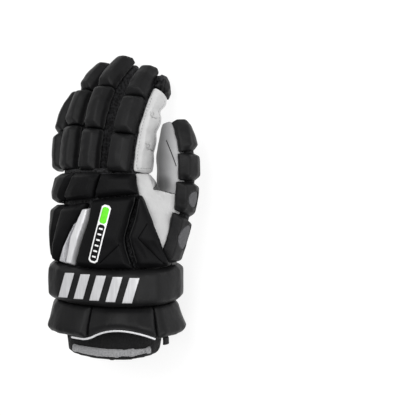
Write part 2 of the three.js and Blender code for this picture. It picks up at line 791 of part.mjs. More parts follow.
// Flared rolls
const FLARE_FRONT = 0.48; // share of the padding that is left under the strap's edge
const FLARES = [
  { name: "cuff_roll_little", left: -wrap, right: 0.005, wave: 0, fine: 8 },
  { name: "cuff_roll_back", left: 0.005, right: 0.202, wave: FLARE_WAVE, fine: 5 },
  { name: "cuff_roll_thumb", left: 0.202, right: wrap, wave: 0, fine: 6 },
];
for (const { name, left, right, wave, fine } of FLARES) {
  const roll = cushion(cuffSurface, onCuff(left, right, FLARE_START, STRAP_START), {
    thick: CUFF_PAD - CLEARANCE,
    fine,
    wave,
    crown: 0.06,
    front: FLARE_FRONT,
  });
  piece(name, roll.subtract(linerSeat).subtract(floor), leather);
}

// Silver piping along the rear edge of the flared rolls
const rearEdge = (round) => {
  const share = clamp((round - FLARES[1].left) / (FLARES[1].right - FLARES[1].left), 0, 1);
  return FLARE_START + SEAM / 2 + FLARES[1].wave * (1 - (2 * share - 1) ** 2);
};
const pipingPoints = spread(-0.055, FLARES[1].right - 0.004, 12).map((round) =>
  cuffSurface(round, rearEdge(round) - PIPING - 2 * CLEARANCE, CUFF_PAD * 0.45),
);
const circle = new THREE.Shape();
circle.absarc(0, 0, PIPING, 0, 2 * Math.PI, false);
const pipingShape = new THREE.ExtrudeGeometry(circle, {
  steps: 18,
  curveSegments: 3,
  bevelEnabled: false,
  extrudePath: new THREE.CatmullRomCurve3(pipingPoints),
});
pipingShape.deleteAttribute("normal");
pipingShape.deleteAttribute("uv");
const pipingMerged = mergeVertices(pipingShape, 1e-4);
const piping = body([...pipingMerged.attributes.position.array], [...pipingMerged.index.array]);
piece("cuff_piping", piping, silver);

// Pull tab at the thumb side, behind the flared roll
const tabRows = [FLARE_START - TAB_OUT, FLARE_START + SEAM / 2 - CLEARANCE].map((along) => ({
  left: [0.229, along],
  right: [0.247, along],
}));
const tab = cushion(cuffSurface, tabRows, {
  thick: TAB,
  seat: TAB * 0.75,
  seam: 0,
  edge: 1,
  fine: 0,
  deep: 0,
});
piece("pull_tab", tab, leather);

// Index finger: suede panel along its thumb side and the cap over its tip
const index = fingers[0];
const indexSide = (round, along, height) => index.stall.point(round, along * index.length, height);
const sideRows = [
  { left: [0.137, 0.015], right: [0.41, 0.015] },
  { left: [0.137, 0.4], right: [0.41, 0.4] },
  { left: [0.145, 0.815], right: [0.42, 0.88] },
];
const onSide = { thick: SIDE_PANEL + SINK, seat: -SINK, seam: 1 };
const sidePad = cushion(indexSide, sideRows, { ...onSide, edge: 3, fine: 2, deep: 3 });
piece("index_side_panel", sidePad.subtract(index.skin), suede);
const capRows = [
  { left: [0.14, 0.825], right: [0.42, 0.89] },
  { left: [0.125, 1.02], right: [0.37, 1.03] },
];
const tipPad = cushion(indexSide, capRows, { ...onSide, edge: 2.5, fine: 1, deep: 1 });
piece("index_tip_cap", tipPad.subtract(index.skin).subtract(floor), leather);

// Thumb rolls, from the base to the tip, as shares of the thumb's length at their two edges. The inserts'
// half sizes are shares of its width
const THUMB_ROLLS = [
  {
    name: "thumb_roll_root",
    low: [0.08, 0.08],
    high: [0.42, 0.365],
    wrap: 0.185,
    tip: 1,
    lens: { name: "thumb_insert_root", round: -0.03, along: 0.275, size: [0.27, 0.43] },
  },
  {
    name: "thumb_roll_base",
    low: [0.425, 0.37],
    high: [0.615, 0.615],
    wrap: 0.175,
    tip: 1,
    lens: { name: "thumb_insert_base", round: -0.03, along: 0.515, size: [0.22, 0.27] },
  },
  { name: "thumb_roll_middle", low: [0.615, 0.615], high: [0.79, 0.79], wrap: 0.155, tip: 0.97 },
  { name: "thumb_roll_tip", low: [0.79, 0.79], high: [1, 1], wrap: 0.14, tip: 0.68 },
];
const thumbSurface = (round, along, height) => thumbTube.point(round, along, height);
const platePad = HAND_PADS.thumb_plate;
const besidePlate = cushion(handSurface, onHand(platePad.rows), {
  thick: platePad.thick + 3 * SINK,
  seat: -2 * SINK,
  fine: 2,
  deep: 2,
  seam: SEAM - 4 * CLEARANCE,
});
// An oval plug that stands on the thumb, narrower by the inset, between two heights
function oval({ round, along: share, size }, inset, high) {
  const along = share * THUMB_LENGTH;
  const [wide, long] = size.map((part) => part * THUMB_WIDTH - inset);
  const turns = spread(0, 2 * Math.PI, 15).slice(0, -1);
  const loops = [THUMB_ROLL - INSERT_DEPTH + inset, high].map((height) =>
    turns.map((turn) => {
      const aside = (wide * Math.cos(turn)) / thumbTube.girth(along);
      return thumbSurface(round + aside, along + long * Math.sin(turn), height);
    }),
  );
  return loft(loops);
}
for (const { name, low, high, wrap: share, tip, lens } of THUMB_ROLLS) {
  const rows = [0, 0.6, 1].map((b) => {
    const half = share * (b === 1 ? tip : 1);
    const [left, right] = [0, 1].map((edge) => lerp(low[edge], high[edge], b) * THUMB_LENGTH);
    return { left: [-half, left], right: [half, right] };
  });
  const roll = cushion(thumbSurface, rows, {
    thick: THUMB_ROLL + SINK,
    seat: -SINK,
    fine: 2,
    deep: 2,
    crown: 0.05,
  });
  const fitted = roll.subtract(padSeat).subtract(besidePlate);
  piece(name, lens ? fitted.subtract(oval(lens, 0, 2 * THUMB_ROLL)) : fitted, leather);
  if (lens) piece(lens.name, oval(lens, CLEARANCE, THUMB_ROLL), insert);
}

// The origin is under the middle of the whole glove, on the surface that it lies on
const bounds = new THREE.Box3().setFromObject(glove);
const centre = bounds.getCenter(new THREE.Vector3());
glove.position.set(-centre.x, -centre.y, -bounds.min.z);

export default glove;
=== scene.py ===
"""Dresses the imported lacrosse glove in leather, suede and mesh, and sets it on a pale floor."""
import math
from typing import NamedTuple

import bpy
import numpy as np
from bpy.props import FloatProperty, FloatVectorProperty, PointerProperty
from mathutils import Matrix, Vector
from mathutils.bvhtree import BVHTree
from mathutils.noise import noise


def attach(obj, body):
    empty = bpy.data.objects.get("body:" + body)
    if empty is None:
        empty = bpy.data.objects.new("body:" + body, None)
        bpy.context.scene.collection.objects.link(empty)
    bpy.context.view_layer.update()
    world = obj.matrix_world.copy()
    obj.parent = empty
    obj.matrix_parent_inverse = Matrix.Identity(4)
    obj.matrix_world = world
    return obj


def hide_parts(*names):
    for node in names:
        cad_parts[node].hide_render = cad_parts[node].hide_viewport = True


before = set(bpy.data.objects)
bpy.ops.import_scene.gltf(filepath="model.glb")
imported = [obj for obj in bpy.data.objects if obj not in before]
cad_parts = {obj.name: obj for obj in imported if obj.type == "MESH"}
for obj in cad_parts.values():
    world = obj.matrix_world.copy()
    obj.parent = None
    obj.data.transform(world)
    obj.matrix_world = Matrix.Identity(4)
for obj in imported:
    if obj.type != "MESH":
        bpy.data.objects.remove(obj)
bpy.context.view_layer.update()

bl_info = {
    "name": "Lacrosse Glove",
    "version": (1, 0, 0),
    "blender": (4, 5, 0),
    "location": "3D View > Sidebar > Glove",
    "description": "Dresses a padded left-hand lacrosse glove and lights it",
    "category": "Object",
}

MM = 0.001

# The glove is seen from above its thumb side. Details are laid out in mm on a plane square to that
# view: across it to the lower right, and along the glove towards the fingertips.
VIEW_TILT = math.radians(35)
LOOK = Vector((math.sin(VIEW_TILT), 0, math.cos(VIEW_TILT)))
SIDE = Vector((math.cos(VIEW_TILT), 0, -math.sin(VIEW_TILT)))
AHEAD = Vector((0, 1, 0))
VIEW_TURN = Matrix((SIDE, AHEAD, LOOK)).transposed().to_4x4()
PLANE_REACH = 110.0  # how far to either side the plane runs past the glove's edges, in mm
RAY_HEIGHT = 0.5  # how far out along the view a ray starts, in m
PRINT_HEIGHT = 0.25  # how far out along the view a print starts before it is pressed on, in m


def linear(code):
    """The linear colour of an sRGB hex code."""
    parts = [int(code[i : i + 2], 16) / 255 for i in (1, 3, 5)]
    return tuple(p / 12.92 if p <= 0.04045 else ((p + 0.055) / 1.055) ** 2.4 for p in parts)


# User settings


def length_setting(name, description, default):
    return FloatProperty(name=name, description=description, default=default, unit="LENGTH", precision=4)


def colour_setting(name, description, code):
    return FloatVectorProperty(
        name=name, description=description, default=linear(code), subtype="COLOR", size=3, min=0, max=1
    )


class GloveSizes(bpy.types.PropertyGroup):
    """Sizes of the leather's and cloth's details."""

    pad_mesh: length_setting("Pad mesh", "Spacing of the mesh that rounds a pad", 1.2 * MM)
    wall_mesh: length_setting("Wall mesh", "Spacing of the mesh that softens a sewn wall", 0.9 * MM)
    swell: length_setting("Swell", "How far the filling may push a pad's leather out", 0.9 * MM)
    leather_grain: length_setting("Leather grain", "Width of the leather's embossed pebbles", 1.5 * MM)
    mesh_pitch: length_setting("Mesh pitch", "Spacing of the holes in the mesh cloth", 2.8 * MM)
    suede_nap: length_setting("Suede nap", "Width of the tufts of the suede", 0.9 * MM)
    stitch_length: length_setting("Stitch length", "Length of one stitch", 2.4 * MM)
    stitch_gap: length_setting("Stitch gap", "Gap between stitches", 1.2 * MM)
    thread: length_setting("Thread", "Thickness of the sewing thread", 0.9 * MM)
    piping: length_setting("Piping", "Thickness of the cord in a piped edge", 1.5 * MM)
    welt: length_setting("Welt", "Thickness of the cord at the back's front edge", 5 * MM)
    backing: length_setting("Thumb backing", "Thickness of the cloth core behind the thumb's rolls", 13 * MM)


class GloveColours(bpy.types.PropertyGroup):
    """Colours of the glove's materials."""

    leather: colour_setting("Leather", "Coated leather of the pads", "#0f0f10")
    mesh: colour_setting("Mesh", "Mesh cloth between the pads", "#101011")
    suede: colour_setting("Suede", "Suede of the palm", "#bebebe")
    # Painted shade: the thumb's suede gets a darker colour than the palm's, standing in for the shade inside
    # the thumb.
    thumb_suede_in_shade: colour_setting("Thumb suede", "Suede inside the thumb, darker with use", "#a6a6a7")
    silver: colour_setting("Silver", "Silver trim of the vent", "#dadadc")
    vent: colour_setting("Vent", "Mesh bed beside the silver trim", "#a6a6a9")
    insert: colour_setting("Insert", "Knitted inserts on the thumb", "#4b4b4d")
    fleece: colour_setting("Fleece", "Brushed patch at the wrist", "#8c8c8e")
    print_light: colour_setting("Light print", "Light part of the label", "#f2f2f2")
    print_accent: colour_setting("Accent print", "Coloured part of the label", "#5fdc00")
    motif: colour_setting("Motif", "Bars on the strap", "#c2c2c4")
    floor: colour_setting("Floor", "Lit paper under the glove", "#8a8a8a")


def sizes():
    return bpy.context.scene.glove_sizes


def colours():
    return bpy.context.scene.glove_colours


# Tables of the glove's details, in mm


class Softness(NamedTuple):
    """How a kind of piece is made soft. Its mesh is a spacing, or the user setting that holds it."""

    mesh: float | str
    rounds: int  # of smoothing
    regain: float = 0.0  # how far its faces go back out, since smoothing draws them in
    hollow: float = 0.0  # width of its soft random hollows
    depth: float = 0.0  # of those hollows
    seed: int = 0  # of the hollows of the first piece of this kind
    filled: bool = False


SOFTNESS = {
    "finger_roll": Softness("pad_mesh", 5, 0.6, 11, 0.6, 1, True),
    "hand_pad": Softness("pad_mesh", 5, 0.6, 16, 0.7, 20, True),
    "vent": Softness(0.8, 3, 0.3),
    "thumb_roll": Softness("pad_mesh", 5, 0.5, 12, 0.7, 40, True),
    "thumb_insert": Softness(0.8, 4, 0.4),
    "finger_wall": Softness("wall_mesh", 3, 0.2, 9, 0.6, 60),
    "index_side_panel": Softness(1.0, 5, 0.5, 8, 0.7, 70, True),
    "index_tip_cap": Softness(0.8, 4, 0.4),
    "back_lining": Softness("wall_mesh", 3, 0.2),
    "palm_leather": Softness("wall_mesh", 3, 0.2, 14, 1.0, 80),
    "thumb_leather": Softness("wall_mesh", 4, 0.3, 12, 1.0, 81),
    "strap_roll": Softness(1.6, 4, 0.6, 22, 0.8, 90, True),
    "cuff_roll": Softness(1.5, 5, 0.7, 20, 1.0, 91, True),
    "wrist_liner": Softness(1.6, 5, 0.5, 24, 0.7, 95),
    "liner_patch": Softness(0.7, 3, 0.7, 4, 0.4, 96),
    "cuff_piping": Softness(0.5, 5),
    "pull_tab": Softness(0.5, 3),
}

FILLING = {"quality": 4, "mass": 0.3, "use_pressure": True, "uniform_pressure_force": 3.0}
FILLING_STEPS = 10
HOLLOW_SHIFTS = (1.7, 0.9, 2.3)  # how the hollows move on from one seed to the next


class Groove(NamedTuple):
    """A kind of groove, and the step between the points that it follows."""

    width: float
    depth: float
    step: float


GROOVES = {
    "plate_seam": Groove(2.2, 1.1, 1.0),
    "pucker": Groove(1.5, 1.1, 1.0),
    "stitch_line": Groove(1.6, 0.5, 1.0),
    "cap_rib": Groove(1.4, 0.9, 2.0),
    "thumb_seam": Groove(1.8, 0.9, 2.0),
}

FINGER_ROLLS = {"index": 3, "middle": 3, "ring": 3, "little": 2}
HAND_PADS = (
    "knuckle_index", "knuckle_middle", "knuckle_little",
    "main_plate", "thumb_plate", "ring_strip", "little_strip",
)
THUMB_ROLLS = ("thumb_roll_root", "thumb_roll_base", "thumb_roll_middle", "thumb_roll_tip")
CUFF_ROLLS = ("cuff_roll_little", "cuff_roll_back", "cuff_roll_thumb")


class PlateTrim(NamedTuple):
    """A plate's seam, and where along the glove its piped edge starts and ends."""

    seam: tuple
    start: float
    end: float
    side: int  # the edge on the plate's right is 1, on its left -1


PLATE_TRIM = {
    "main_plate": PlateTrim(((-20.5, -41), (-41.5, -60.5)), 8, -62, 1),
    "thumb_plate": PlateTrim(((9, -19), (-0.5, -34), (26, -61)), 6, -60, -1),
}
PIPING_INSET = 1.6

# The index finger's side panel draws in along its free edge, and puckers in two places, each with
# creases round its middle. Rows of stitches run along its edges.
SCALLOPS = (100, 77, 55)
SCALLOP_WIDTH, SCALLOP_DEPTH = 5, 4.5
PUCKER_PLACES = ((13, 96), (9, 62))
PUCKER_CREASES = (
    ((-2.5, 3), (-1, 1.2), (-1.6, -1), (0.4, -2.6)),
    ((0.4, 2.6), (1.6, 0.8), (1, -1.2)),
    ((-0.6, -3.4), (2, -3), (3.4, -4.4), (5, -3.6)),
)
CREASE_THREAD = 0.4
SEWN_EDGES = (
    ((12, 114), (6.5, 99), (1.5, 78), (-1.8, 57), (-3.5, 37)),
    ((-3, 39), (5, 38.5), (13, 39)),
)
FREE_EDGE = (112, 42)  # where along the glove its row of stitches starts and ends
FREE_EDGE_INSET = 1.4
STITCH_LIFT = 0.1

CAP_RIBS = (((18.9, 139), (16.2, 127)), ((22.7, 138), (20, 123)), ((26.4, 134), (23.7, 121)))


class Welt(NamedTuple):
    """A cloth cord in the gap in front of a piece: a line on the piece, and where the cord runs."""

    line: tuple
    ahead: float  # of the line, towards the fingertips
    sunk: float  # below the piece's surface


TIP_WELT = Welt(((16, 133), (22, 133)), 4, 3)
TIP_WELT_THICKNESS = 7
KNUCKLE_WELT = Welt(((-84, 34), (12, 34)), 3, 1)

THUMB_SEAM = ((28, 68), (32.5, 57), (36, 48), (38.5, 41))
THUMB_HOLLOW = (24.0, 21.0)  # the hollow under the thumb: pressed in, and with painted shade round it in the suede's colour
THUMB_HOLLOW_WIDTH, THUMB_HOLLOW_DEPTH = 12, 5

BARS = 5
FIRST_BAR, NEXT_BAR = (-78, -84.5), (17.5, -0.9)  # the first bar's centre, and the step to the next
BAR_SIZE = (18, 26)
BAR_LEAN = 0.3
BAR_THICKNESS = 0.6

LABEL_CENTRE = (-41.2, -30)
LABEL_LEAN = 14.5  # degrees to the right of the glove's length


class LabelLayer(NamedTuple):
    """A layer of the label: its middle along the label, its size, finish and lift over the plate."""

    name: str
    along: float
    size: tuple
    finish: str
    lift: float


LABEL_LAYERS = (
    LabelLayer("label_rim", 0, (10, 62), "light_print", 0.1),
    LabelLayer("label_field", -9.5, (7.2, 39), "dark_print", 0.35),
    LabelLayer("label_accent", 20, (7.2, 17.5), "accent_print", 0.35),
)
DASHES = 6
FIRST_DASH, NEXT_DASH = -24.5, 6  # the first dash's place along the label, and the step to the next
DASH_SIZE = (4.2, 1.7)
DASH_LIFT, DASH_THICKNESS, DASH_SPACING = 0.6, 0.3, 0.5


class Light(NamedTuple):
    """A square area light, in m and W, that faces the glove."""

    name: str
    place: tuple
    size: float
    power: float


LIGHTS = (
    Light("key_light", (0.1, 0.7, 1.5), 1.3, 15),
    Light("fill_light", (1.4, -0.1, 0.9), 1.2, 13),
)
WORLD_STRENGTH = 0.54
FLOOR_SIZE = 8  # in m
PHOTO_WIDTH, FOCAL_LENGTH = 416, 1488  # in the photograph's pixels
SENSOR_WIDTH = 36
CAMERA_AIM = (82.52, -2.88, -7.1)
CAMERA_DISTANCE = 1.6  # in m


# Modelling


def activate(*pieces):
    """Selects these objects alone, the last of them active."""
    if bpy.context.mode != "OBJECT":
        bpy.ops.object.mode_set(mode="OBJECT")
    bpy.ops.object.select_all(action="DESELECT")
    for piece in pieces:
        piece.select_set(True)
    bpy.context.view_layer.objects.active = pieces[-1]


def modify(piece, kind, **settings):
    """Adds a modifier with its settings and applies it."""
    activate(piece)
    made = piece.modifiers.new(kind.title(), kind)
    for key, value in settings.items():
        setattr(made, key, value)
    bpy.ops.object.modifier_apply(modifier=made.name)


def copy_of(node, name):
    """A new piece with the CAD node's shape, its loose triangles merged."""
    piece = bpy.data.objects.new(name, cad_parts[node].data.copy())
    bpy.context.scene.collection.objects.link(piece)
    piece.data.materials.clear()
    activate(piece)
    bpy.ops.object.mode_set(mode="EDIT")
    bpy.ops.mesh.select_all(action="SELECT")
    bpy.ops.mesh.remove_doubles(threshold=1e-6)
    bpy.ops.object.mode_set(mode="OBJECT")
    if piece.data.has_custom_normals:
        bpy.ops.mesh.customdata_custom_splitnormals_clear()
    return piece


def vertices_of(piece):
    places = np.zeros(len(piece.data.vertices) * 3)
    piece.data.vertices.foreach_get("co", places)
    return places.reshape(-1, 3)


def normals_of(piece):
    normals = np.zeros(len(piece.data.vertices) * 3)
    piece.data.vertices.foreach_get("normal", normals)
    return normals.reshape(-1, 3)


def place_vertices(piece, places):
    piece.data.vertices.foreach_set("co", places.reshape(-1))
    piece.data.update()


def soften(node, kind):
    """A cover for a node: its shape with the corners rounded off, as stuffed leather is."""
    softness = SOFTNESS[kind]
    mesh = softness.mesh
    spacing = getattr(sizes(), mesh) if isinstance(mesh, str) else mesh * MM
    piece = copy_of(node, node + "_cover")
    modify(piece, "REMESH", mode="VOXEL", voxel_size=spacing, use_smooth_shade=True)
    modify(piece, "SMOOTH", factor=0.5, iterations=softness.rounds)
    place_vertices(piece, vertices_of(piece) + normals_of(piece) * (softness.regain * MM))
    return piece


def stuff(piece):
    """Swells a pad with cloth simulation. The filling pushes no point further than the swell."""
    scene = bpy.context.scene
    start = vertices_of(piece)
    activate(piece)
    cloth = piece.modifiers.new("Filling", "CLOTH")
    for key, value in FILLING.items():
        setattr(cloth.settings, key, value)
    cloth.settings.effector_weights.gravity = 0
    cloth.point_cache.frame_start = 1
    cloth.point_cache.frame_end = FILLING_STEPS
    for step in range(1, FILLING_STEPS + 1):
        scene.frame_set(step)
    filled = piece.evaluated_get(bpy.context.evaluated_depsgraph_get())
    places = np.zeros(len(start) * 3)
    filled.data.vertices.foreach_get("co", places)
    piece.modifiers.remove(cloth)
    scene.frame_set(1)
    move = places.reshape(-1, 3) - start
    reach = np.linalg.norm(move, axis=1)
    share = np.minimum(1, sizes().swell / np.maximum(reach, 1e-9))
    place_vertices(piece, start + move * share[:, None])
    modify(piece, "SMOOTH", factor=0.5, iterations=1)


def crumple(piece, width, depth, seed):
    """Soft random hollows of this width, up to this depth."""
    places = vertices_of(piece)
    offset = Vector([seed * shift for shift in HOLLOW_SHIFTS])
    lift = np.array([noise(Vector(p) / width + offset) for p in places])
    place_vertices(piece, places + normals_of(piece) * (lift * depth)[:, None])


def settle(piece, kind, number=0):
    """Fills a cover if it is a pad's, and gives it the soft hollows of its kind."""
    softness = SOFTNESS[kind]
    if softness.filled:
        stuff(piece)
    if softness.depth:
        crumple(piece, softness.hollow * MM, softness.depth * MM, softness.seed + number)


def cover(node, kind=None, number=0):
    """A node's cover, soft and settled as its kind is. Its number counts pieces of the same kind."""
    piece = soften(node, kind or node)
    settle(piece, kind or node, number)
    return piece


def fading(distances, width):
    """1 at no distance, and smoothly less up to this width."""
    near = np.clip(1 - distances / width, 0, 1)
    return near * near * (3 - 2 * near)


def distance_to_line(places, line):
    """How far each place lies from a line through these points."""
    best = np.full(len(places), np.inf)
    for start, end in zip(line, line[1:]):
        a, b = np.array(start), np.array(end)
        run = b - a
        share = np.clip(((places - a) @ run) / max(run @ run, 1e-12), 0, 1)
        best = np.minimum(best, np.linalg.norm(places - a - share[:, None] * run, axis=1))
    return best


def press(piece, corners, kind):
    """Presses a groove, such as a sewn channel or a crease, along a line through corners of the view
    plane. Returns the points of the line as they lay before."""
    groove = GROOVES[kind]
    line = trace(piece, corners, groove.step)
    places = vertices_of(piece)
    fall = fading(distance_to_line(places, line), groove.width * MM)
    place_vertices(piece, places - normals_of(piece) * (fall * (groove.depth * MM))[:, None])
    return line


def dent(piece, centre, width, depth):
    """Pushes a wall in around one place of the view plane, both of its faces alike."""
    places = vertices_of(piece)
    away = np.linalg.norm(places - np.array(land(tree_of(piece), *centre)), axis=1)
    place_vertices(piece, places - np.array(LOOK) * (fading(away, width * MM) * (depth * MM))[:, None])


def pinch(piece, along, width, depth):
    """Draws in a piece's right edge, seen square to the view plane, at this place along the glove."""
    places = vertices_of(piece)
    across = places @ np.array(SIDE)
    middle, reach = across.mean(), across.max() - across.mean()
    near = np.exp(-(((places[:, 1] - along * MM) / (width * MM)) ** 2))
    share = np.clip((across - middle) / reach, 0, 1) * near
    place_vertices(piece, places - np.array(SIDE) * (share * (depth * MM))[:, None])


def on_plane(across, along, height):
    """A place of the view plane, raised towards the viewer by a height in m."""
    return SIDE * (across * MM) + AHEAD * (along * MM) + LOOK * height


def tree_of(piece):
    return BVHTree.FromObject(piece, bpy.context.evaluated_depsgraph_get())


def land(tree, across, along, lift=0.0):
    """The point of a surface behind this place of the view plane, if there is one."""
    place, normal, _, _ = tree.ray_cast(on_plane(across, along, RAY_HEIGHT), -LOOK)
    return place and place + normal * (lift * MM)


def trace(piece, corners, step=2.0, lift=0.0):
    """Points on the piece along a line through corners of the view plane. Where the line runs past the
    piece's edge it is left off."""
    tree = tree_of(piece)
    marks = []
    for (x0, y0), (x1, y1) in zip(corners, corners[1:]):
        count = max(int(math.hypot(x1 - x0, y1 - y0) / step), 1)
        marks += [(x0 + (x1 - x0) * i / count, y0 + (y1 - y0) * i / count) for i in range(count)]
    points = [land(tree, *mark, lift) for mark in [*marks, corners[-1]]]
    points = [point for point in points if point]
    if len(points) < 2:
        raise RuntimeError(f"{piece.name} doesn't lie behind {corners}")
    return points


def rim(piece, start, end, side, inset, step=3.0, search=0.5):
    """Points just inside the right edge of a piece, or with side -1 the left one, from one place along
    the glove to another."""
    tree = tree_of(piece)
    points = []
    for number in range(int(abs(end - start) / step) + 1):
        along = start + math.copysign(number * step, end - start)
        across = side * PLANE_REACH
        while abs(across) <= PLANE_REACH and not land(tree, across, along):
            across -= side * search
        place = land(tree, across - side * inset, along)
        if place:
            points.append(place)
    return points


def curve_through(points, name):
    data = bpy.data.curves.new(name, "CURVE")
    data.dimensions = "3D"
    spline = data.splines.new("POLY")
    spline.points.add(len(points) - 1)
    for point, place in zip(spline.points, points):
        point.co = (*place, 1)
    piece = bpy.data.objects.new(name, data)
    bpy.context.scene.collection.objects.link(piece)
    return piece


def cord_along(points, name, thickness):
    """A round cord through these points, as a mesh."""
    piece = curve_through(points, name)
    piece.data.bevel_depth = thickness / 2
    piece.data.bevel_resolution = 2
    piece.data.use_fill_caps = True
    activate(piece)
    bpy.ops.object.convert(target="MESH")
    bpy.ops.object.shade_smooth()
    return bpy.context.view_layer.objects.active


def stitches_along(points, name):
    """A row of stitches: one is modelled and repeated along the line."""
    setting = sizes()
    path = curve_through(points, name + "_path")
    run = sum((b - a).length for a, b in zip(points, points[1:]))
    pitch = setting.stitch_length + setting.stitch_gap
    activate(path)
    bpy.ops.mesh.primitive_uv_sphere_add(segments=8, ring_count=6, radius=0.5)
    piece = bpy.context.view_layer.objects.active
    piece.name = name
    bpy.ops.object.mode_set(mode="EDIT")
    bpy.ops.mesh.select_all(action="SELECT")
    bpy.ops.transform.resize(value=(setting.stitch_length, setting.thread, setting.thread))
    bpy.ops.transform.translate(value=(setting.stitch_length / 2, 0, 0))
    bpy.ops.object.mode_set(mode="OBJECT")
    bpy.ops.object.shade_smooth()
    modify(
        piece, "ARRAY", fit_type="FIXED_COUNT", count=max(int(run / pitch), 1),
        use_relative_offset=False, use_constant_offset=True, constant_offset_displace=(pitch, 0, 0),
    )
    modify(piece, "CURVE", object=path, deform_axis="POS_X")
    bpy.data.objects.remove(path)
    return piece


def joined(pieces, name):
    """One piece made of several."""
    activate(*pieces)
    bpy.ops.object.join()
    piece = bpy.context.view_layer.objects.active
    piece.name = name
    return piece


def print_on(host, name, centre, size, cuts=(), turn=0.0, lift=0.1, thickness=0.5, spacing=0.8):
    """A thin print pressed on a host. It starts as a grid over the centre, and each cut trims it
    along a line: a point as shares of its half width and half height, and an outward direction."""
    width, height, lift, thickness, spacing = (s * MM for s in (*size, lift, thickness, spacing))
    activate(host)
    bpy.ops.mesh.primitive_grid_add(
        x_subdivisions=max(int(width / spacing), 2), y_subdivisions=max(int(height / spacing), 2), size=1
    )
    piece = bpy.context.view_layer.objects.active
    piece.name = name
    bpy.ops.object.mode_set(mode="EDIT")
    bpy.ops.mesh.select_all(action="SELECT")
    bpy.ops.transform.resize(value=(width, height, 1))
    for (x, y), (toward_x, toward_y) in cuts:
        bpy.ops.mesh.select_all(action="SELECT")
        bpy.ops.mesh.bisect(
            plane_co=(x * width / 2, y * height / 2, 0), plane_no=(toward_x, toward_y, 0), clear_outer=True
        )
    bpy.ops.object.mode_set(mode="OBJECT")
    place = Matrix.Translation(on_plane(*centre, PRINT_HEIGHT))
    piece.matrix_world = place @ VIEW_TURN @ Matrix.Rotation(math.radians(turn), 4, "Z")
    modify(
        piece, "SHRINKWRAP", target=host, wrap_method="PROJECT", use_project_z=True,
        use_negative_direction=True, use_positive_direction=False, offset=lift,
    )
    activate(piece)
    bpy.ops.object.transform_apply(location=True, rotation=True, scale=True)
    modify(piece, "SOLIDIFY", thickness=thickness, offset=1)
    bpy.ops.object.shade_smooth()
    return piece


def slanted(lean):
    """The two cuts that lean a bar's ends by this share of its height over its width."""
    return [((-1, -1), (-1, lean)), ((1, 1), (1, -lean))]


def chamfered(share):
    """Four cuts that take off the corners."""
    return [((sx, sy * (1 - share)), (sx, sy)) for sx in (-1, 1) for sy in (-1, 1)]


# Materials


def feed(tree, socket, value):
    """Links a socket to another one, or sets its value."""
    if isinstance(value, bpy.types.NodeSocket):
        tree.links.new(value, socket)
    else:
        socket.default_value = value


def add(tree, kind, inputs, **settings):
    """Adds a shader node with its settings. Each of its inputs gets a value or another node's output."""
    made = tree.nodes.new(kind)
    for key, value in settings.items():
        setattr(made, key, value)
    for key, value in inputs.items():
        feed(tree, made.inputs[key], value)
    return made


def material_on(name):
    """A new material with its tree and the object's own coordinates."""
    made = bpy.data.materials.new(name)
    made.use_nodes = True
    return made, made.node_tree, add(made.node_tree, "ShaderNodeTexCoord", {}).outputs["Object"]


def surfaced(made, inputs):
    """The material, with these inputs of its surface shader set or linked."""
    tree = made.node_tree
    for key, value in inputs.items():
        feed(tree, tree.nodes["Principled BSDF"].inputs[key], value)
    return made


def clouds(tree, places, width, detail, roughness=0.5):
    """Soft random patches about this wide."""
    inputs = {"Vector": places, "Scale": 1 / width, "Detail": detail, "Roughness": roughness}
    return add(tree, "ShaderNodeTexNoise", inputs).outputs["Fac"]


def cells(tree, places, pitch, randomness=1.0):
    """The distance to the nearest of many points this far apart, as of pebbles or holes."""
    inputs = {"Vector": places, "Scale": 1 / pitch, "Randomness": randomness}
    return add(tree, "ShaderNodeTexVoronoi", inputs, feature="F1").outputs["Distance"]


def relief(tree, height, strength, distance, finer=None, invert=False):
    """Bumps by this height, laid over finer ones if there are any."""
    inputs = {"Height": height, "Strength": strength, "Distance": distance}
    if finer is not None:
        inputs["Normal"] = finer
    return add(tree, "ShaderNodeBump", inputs, invert=invert).outputs["Normal"]


def tint(colour, factor):
    return tuple(min(c * factor, 1) for c in colour)


def shades(tree, factor, colour, low, high, start=0.3, end=0.7):
    """A ramp between two tints of a colour."""
    made = add(tree, "ShaderNodeValToRGB", {"Fac": factor})
    for stop, place, share in zip(made.color_ramp.elements, (start, end), (low, high)):
        stop.position = place
        stop.color = (*tint(colour, share), 1)
    return made.outputs["Color"]


def calculate(tree, operation, *values):
    return add(tree, "ShaderNodeMath", dict(enumerate(values)), operation=operation).outputs[0]


def between(tree, value, low, high, start=0.0, end=1.0, **settings):
    """How far a value has come from low to high, told from start to end."""
    inputs = {"Value": value, "From Min": low, "From Max": high, "To Min": start, "To Max": end}
    return add(tree, "ShaderNodeMapRange", inputs, **settings).outputs[0]


def coated_leather(name, shine):
    """Foam-backed leather with an embossed, coated face: small pebbles and a soft, low shine."""
    made, tree, places = material_on(name)
    broad = clouds(tree, places, 24 * MM, 3)
    folds = clouds(tree, places, 6 * MM, 4)
    pebbles = relief(tree, cells(tree, places, sizes().leather_grain), 0.35, 0.25 * MM, invert=True)
    return surfaced(made, {
        "Base Color": shades(tree, broad, colours().leather, 0.82, 1.22),
        "Normal": relief(tree, folds, 0.5, 0.8 * MM, pebbles),
        "Roughness": between(tree, folds, 0, 1, 0.4, 0.56),
        "IOR": 1.48,
        "Specular IOR Level": shine,
    })


def mesh_cloth(name, pitch, low, high):
    """Knitted polyester: round holes in a matt yarn, which read as specks in open mesh and as a fine
    tooth in a lining."""
    made, tree, places = material_on(name)
    holes = cells(tree, places, pitch, 0.8)
    puffs = clouds(tree, places, 6 * MM, 3)
    return surfaced(made, {
        "Base Color": shades(tree, holes, colours().mesh, low, high, 0.25, 0.75),
        "Normal": relief(tree, puffs, 0.8, 2.5 * MM, relief(tree, holes, 0.9, 0.7 * MM)),
        "Roughness": 0.85,
        "Specular IOR Level": 0.2,
        "Sheen Weight": 0.04,
        "Sheen Roughness": 0.5,
    })
